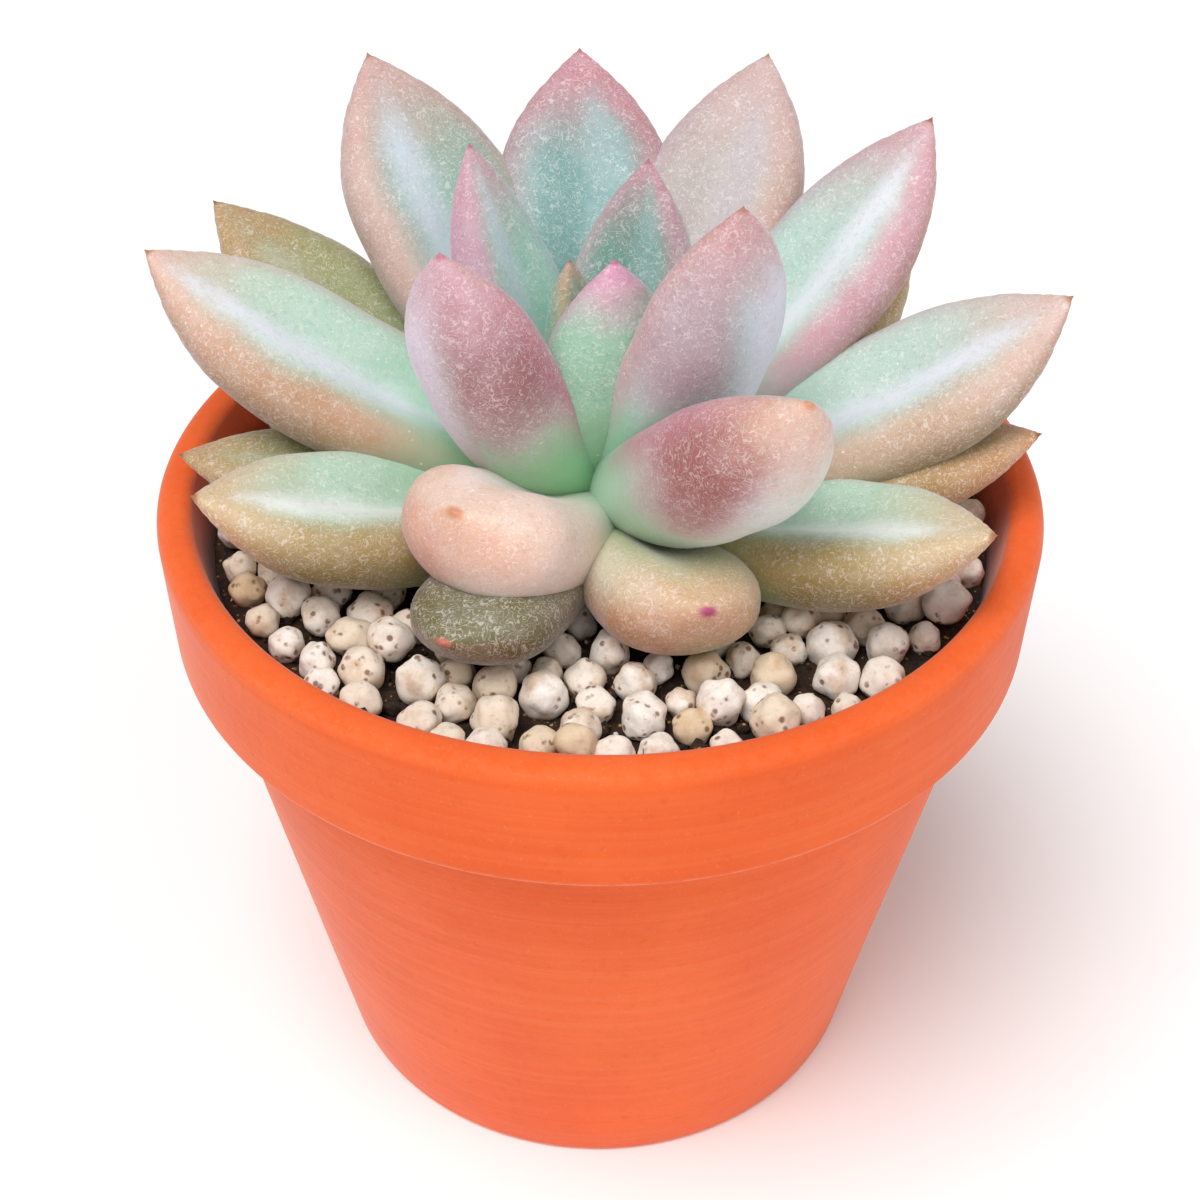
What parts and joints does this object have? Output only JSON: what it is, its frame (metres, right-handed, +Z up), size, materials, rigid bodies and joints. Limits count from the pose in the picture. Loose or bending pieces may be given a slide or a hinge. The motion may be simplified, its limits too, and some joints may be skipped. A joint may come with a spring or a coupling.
{
  "type": "potted succulent",
  "caption": "Rosette succulent with thick pointed leaves, growing in a round tapered clay pot with a collar, in dark soil under a top dressing of pale rounded grains.",
  "frame": {"origin": "centre of the pot's flat base, on the surface it stands on", "axes": "+Z up along the pot's axis, +X to the right and -Y towards the front of the plant, the side where the lowest leaves are shortest"},
  "size_m": [0.1, 0.1, 0.1208],
  "materials": {
    "terracotta": "matte unglazed clay",
    "potting_soil": "dark crumbly potting soil",
    "pumice_grain": "pale rounded porous grains",
    "stem_green": "green plant stem",
    "leaf_low": "succulent leaf, olive green with a pale bloom",
    "leaf_outer": "succulent leaf, mint green to tan and pink with a pale bloom",
    "leaf_inner": "succulent leaf, mint green to pink with a pale bloom",
    "leaf_front": "succulent leaf, peach to olive with a pale bloom",
    "leaf_heart": "succulent leaf, mint green with pink tips"
  },
  "bodies": {
    "root": {"pot": "terracotta", "soil": "potting_soil", "top_dressing": "pumice_grain", "stem": "stem_green", "leaf_bud": "leaf_heart", "leaf_heart_01": "leaf_heart", "leaf_heart_02": "leaf_heart", "leaf_heart_03": "leaf_heart", "leaf_heart_04": "leaf_heart", "leaf_inner_01": "leaf_inner", "leaf_inner_02": "leaf_inner", "leaf_inner_03": "leaf_inner", "leaf_outer_01": "leaf_outer", "leaf_outer_02": "leaf_outer", "leaf_outer_03": "leaf_outer", "leaf_outer_04": "leaf_outer", "leaf_outer_05": "leaf_outer", "leaf_outer_06": "leaf_outer", "leaf_outer_07": "leaf_front", "leaf_low_01": "leaf_low", "leaf_low_02": "leaf_low", "leaf_low_03": "leaf_low", "leaf_low_04": "leaf_low", "leaf_low_05": "leaf_low", "leaf_low_06": "leaf_low", "leaf_low_07": "leaf_low", "leaf_low_08": "leaf_front", "leaf_low_09": "leaf_low", "leaf_low_10": "leaf_front", "leaf_low_11": "leaf_low"}
  },
  "joints": []
}
